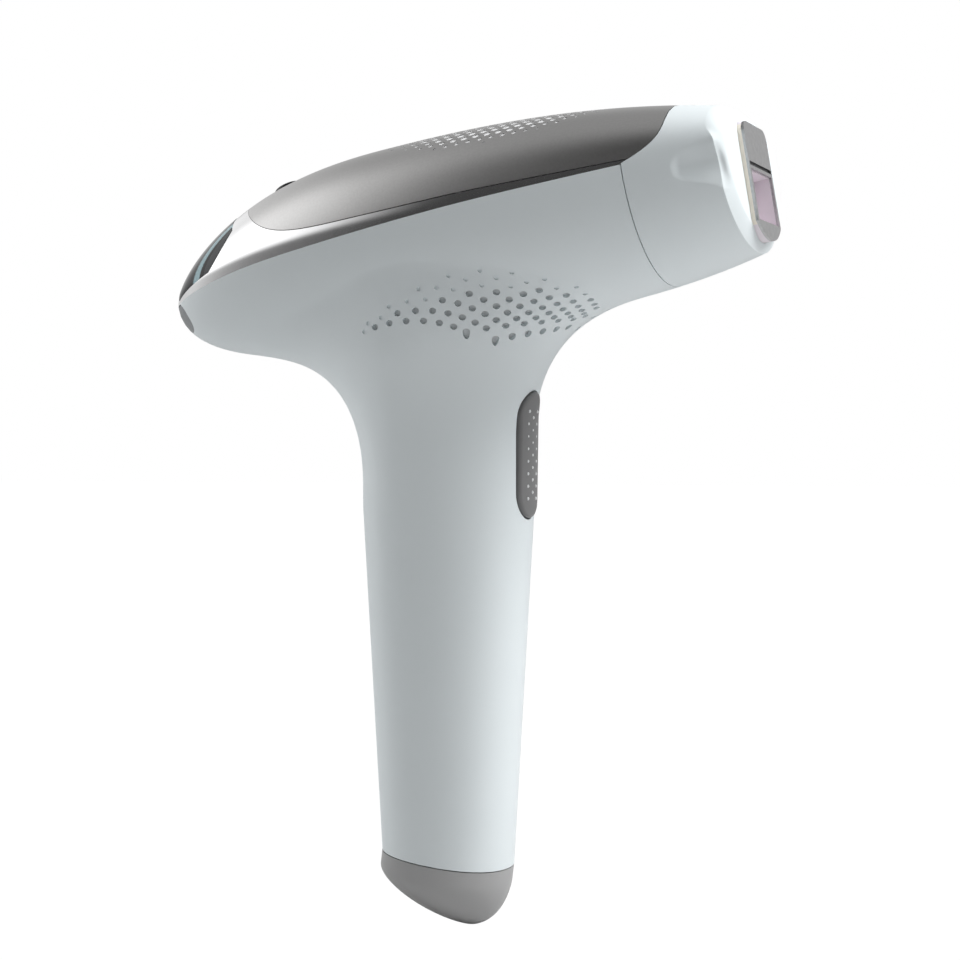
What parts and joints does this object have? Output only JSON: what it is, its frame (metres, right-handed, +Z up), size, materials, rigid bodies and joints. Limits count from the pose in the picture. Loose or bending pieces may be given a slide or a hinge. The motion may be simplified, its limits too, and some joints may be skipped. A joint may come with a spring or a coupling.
{
  "type": "ipl hair remover",
  "caption": "Pistol-shaped hand-held light hair remover with a slanted head, pull-out lamp cartridge, finger trigger, top power button, cooling vents and rear display.",
  "frame": {"origin": "on the floor under the middle of the bounding box, at the lowest point of the end cap", "axes": "+Z up along the handle, +X towards the treatment window, +Y to the device's left"},
  "size_m": [0.1503, 0.053, 0.1895],
  "materials": {
    "white_plastic": "satin",
    "grey_cover": "pearl",
    "chrome": "polished",
    "display_glass": "gloss",
    "display_panel": "gloss",
    "button_black": "gloss",
    "smoke_lens": "gloss",
    "grey_plastic": "satin",
    "dark_plastic": "satin",
    "board": "solder mask",
    "steel": "plain",
    "capacitor_sleeve": "sleeve",
    "winding": "lacquer",
    "lead_red": "sleeve",
    "aluminium": "plain",
    "brass": "plain",
    "ivory_plastic": "satin",
    "brushed_plate": "brushed",
    "filter_glass": "coated",
    "mirror": "polished",
    "quartz": "clear"
  },
  "bodies": {
    "body": {"right_shell": "white_plastic", "left_shell": "white_plastic", "top_cover": "grey_cover", "chrome_trim": "chrome", "display_glass": "display_glass", "display_panel": "display_panel", "power_switch": "dark_plastic", "control_board": "board", "tail_lens": "smoke_lens", "tail_light_board": "board", "vent_screens": "grey_plastic", "end_cap": "grey_plastic", "inlet_body": "dark_plastic", "inlet_pin": "brass", "trigger_spring": "steel", "trigger_switch": "dark_plastic", "switch_board": "board", "main_board": "board", "capacitor": "capacitor_sleeve", "transformer": "winding", "choke": "winding", "power_chips": "dark_plastic", "shell_screws": "steel", "chassis": "dark_plastic", "fan_frame": "dark_plastic", "heatsink": "aluminium", "lamp_socket": "dark_plastic", "socket_contacts": "brass", "lead_bundle": "lead_red"},
    "trigger": {"trigger_button": "grey_plastic", "switch_plunger": "dark_plastic"},
    "power_button": {"power_button": "button_black", "power_plunger": "grey_plastic"},
    "fan": {"fan_rotor": "dark_plastic"},
    "cartridge": {"lamp_head_shell": "white_plastic", "cartridge_body": "white_plastic", "window_frame": "ivory_plastic", "contact_plate": "brushed_plate", "filter_glass": "filter_glass", "reflector": "mirror", "flash_tube": "quartz", "tube_electrodes": "steel", "cartridge_pins": "brass", "skin_sensor": "dark_plastic"}
  },
  "joints": [
    {"name": "trigger_press", "type": "slide", "parent": "body", "child": "trigger", "axis": [-1, 0, 0], "range_m": [0, 0.0012], "stiffness_N_per_m": 1200, "deforming": ["trigger_spring"]},
    {"name": "power_press", "type": "slide", "parent": "body", "child": "power_button", "axis": [0.4067, 0, -0.9136], "range_m": [0, 0.0006], "stiffness_N_per_m": 1500},
    {"name": "fan_spin", "type": "hinge", "parent": "body", "child": "fan", "pos_m": [-0.02255, 0, 0.15869], "axis": [0.9859, 0, 0.1676], "continuous": true},
    {"name": "cartridge_slide", "type": "slide", "parent": "body", "child": "cartridge", "axis": [0.9859, 0, 0.1676], "range_m": [0, 0.03]}
  ]
}
